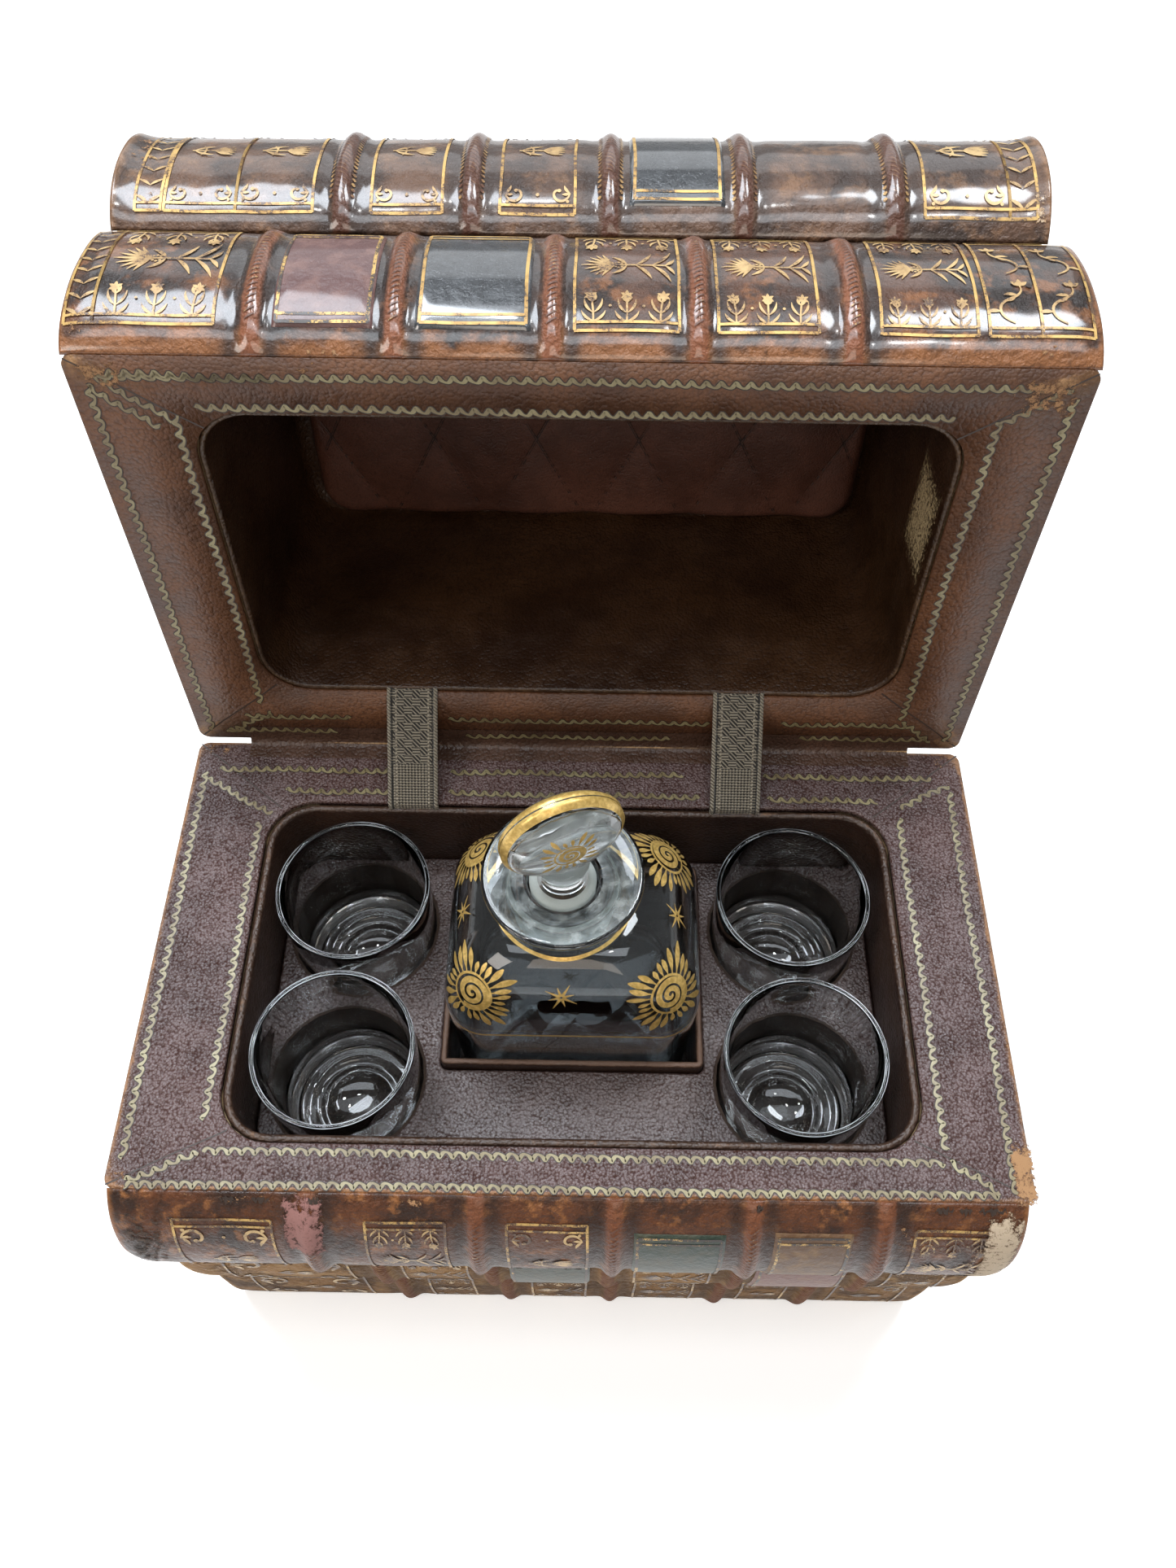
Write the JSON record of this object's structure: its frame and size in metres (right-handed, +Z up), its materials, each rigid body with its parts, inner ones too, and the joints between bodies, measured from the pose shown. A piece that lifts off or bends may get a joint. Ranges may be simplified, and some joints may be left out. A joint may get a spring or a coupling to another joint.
{
  "type": "tantalus",
  "caption": "Drinks case in the form of a stack of old leather-bound volumes, whose hinged upper books open on a decanter and tumblers.",
  "frame": {"origin": "middle of the underside of the lowest volume's lower board, which stands on the table; the middle is that of the case's rim, not counting the spines", "axes": "+X along the spines to the right of someone who faces them, +Y from the spines to the hinge, +Z up"},
  "size_m": [0.3, 0.3289, 0.3542],
  "materials": {
    "rim_leather": "semi-matt pebbled leather with pale wavy tooling",
    "base_rim_leather": "pebbled leather with a speckled sheen and pale wavy tooling",
    "lid_leather": "polished old calf with gilt tooling",
    "base_leather": "worn old calf with rubbed gilt tooling",
    "board_leather": "semi-matt leather over board",
    "lining_leather": "pebbled leather, semi-matt",
    "collar_leather": "leather with rubbed tan edges",
    "quilt": "quilted leather",
    "label_green": "polished leather label",
    "label_red": "polished leather label",
    "label_brown": "polished leather label",
    "label_mauve": "polished leather label",
    "label_black": "glossy leather label",
    "pages": "edges of old paper",
    "silk": "sewn silk",
    "pasteboard": "matt brown pasteboard",
    "webbing": "woven webbing",
    "glass": "clear blown glass, the stopper's plug ground"
  },
  "bodies": {
    "base": {"base_bottom_lower_board": "board_leather", "base_bottom_upper_board": "board_leather", "base_bottom_block": "pages", "base_bottom_spine": "base_leather", "base_bottom_endband_left": "silk", "base_bottom_endband_right": "silk", "base_middle_lower_board": "board_leather", "base_middle_upper_board": "board_leather", "base_middle_block": "pages", "base_middle_spine": "base_leather", "base_middle_endband_left": "silk", "base_middle_endband_right": "silk", "base_middle_label_green": "label_green", "base_middle_label_red": "label_red", "base_top_lower_board": "board_leather", "base_top_block": "pages", "base_top_spine": "base_leather", "base_top_endband_left": "silk", "base_top_endband_right": "silk", "base_top_label_green": "label_green", "base_top_label_brown": "label_brown", "base_rim": "base_rim_leather", "base_lining": "lining_leather", "tray_board": "lining_leather", "tray_floor": "base_rim_leather", "decanter_collar": "collar_leather", "hinge_leather": "rim_leather", "strap_left": "webbing", "strap_right": "webbing", "socket_liner_1": "pasteboard", "socket_liner_2": "pasteboard", "socket_liner_3": "pasteboard", "socket_liner_4": "pasteboard"},
    "lid": {"lid_lower_upper_board": "board_leather", "lid_lower_block": "pages", "lid_lower_spine": "lid_leather", "lid_lower_endband_left": "silk", "lid_lower_endband_right": "silk", "lid_lower_label_mauve": "label_mauve", "lid_lower_label_black": "label_black", "lid_upper_lower_board": "board_leather", "lid_upper_upper_board": "board_leather", "lid_upper_block": "pages", "lid_upper_spine": "lid_leather", "lid_upper_endband_left": "silk", "lid_upper_endband_right": "silk", "lid_upper_label_black": "label_black", "lid_rim": "rim_leather", "lid_lining": "lining_leather", "lid_pad": "quilt"},
    "decanter": {"decanter": "glass"},
    "stopper": {"stopper": "glass"},
    "glass_1": {"glass_1": "glass"},
    "glass_2": {"glass_2": "glass"},
    "glass_3": {"glass_3": "glass"},
    "glass_4": {"glass_4": "glass"}
  },
  "joints": [
    {"name": "lid_hinge", "type": "hinge", "parent": "base", "child": "lid", "pos_m": [0, 0.0862, 0.1716], "axis": [-1, 0, 0], "range_deg": [-96, 0], "deforming": ["strap_left", "strap_right", "hinge_leather"]},
    {"name": "decanter_lift", "type": "slide", "parent": "base", "child": "decanter", "axis": [0, 0, 1], "range_m": [0, 0.09]},
    {"name": "stopper_lift", "type": "slide", "parent": "decanter", "child": "stopper", "axis": [0, 0, 1], "range_m": [0, 0.03]},
    {"name": "glass_1_lift", "type": "slide", "parent": "base", "child": "glass_1", "axis": [0, 0, 1], "range_m": [0, 0.09]},
    {"name": "glass_2_lift", "type": "slide", "parent": "base", "child": "glass_2", "axis": [0, 0, 1], "range_m": [0, 0.09]},
    {"name": "glass_3_lift", "type": "slide", "parent": "base", "child": "glass_3", "axis": [0, 0, 1], "range_m": [0, 0.09]},
    {"name": "glass_4_lift", "type": "slide", "parent": "base", "child": "glass_4", "axis": [0, 0, 1], "range_m": [0, 0.09]}
  ]
}
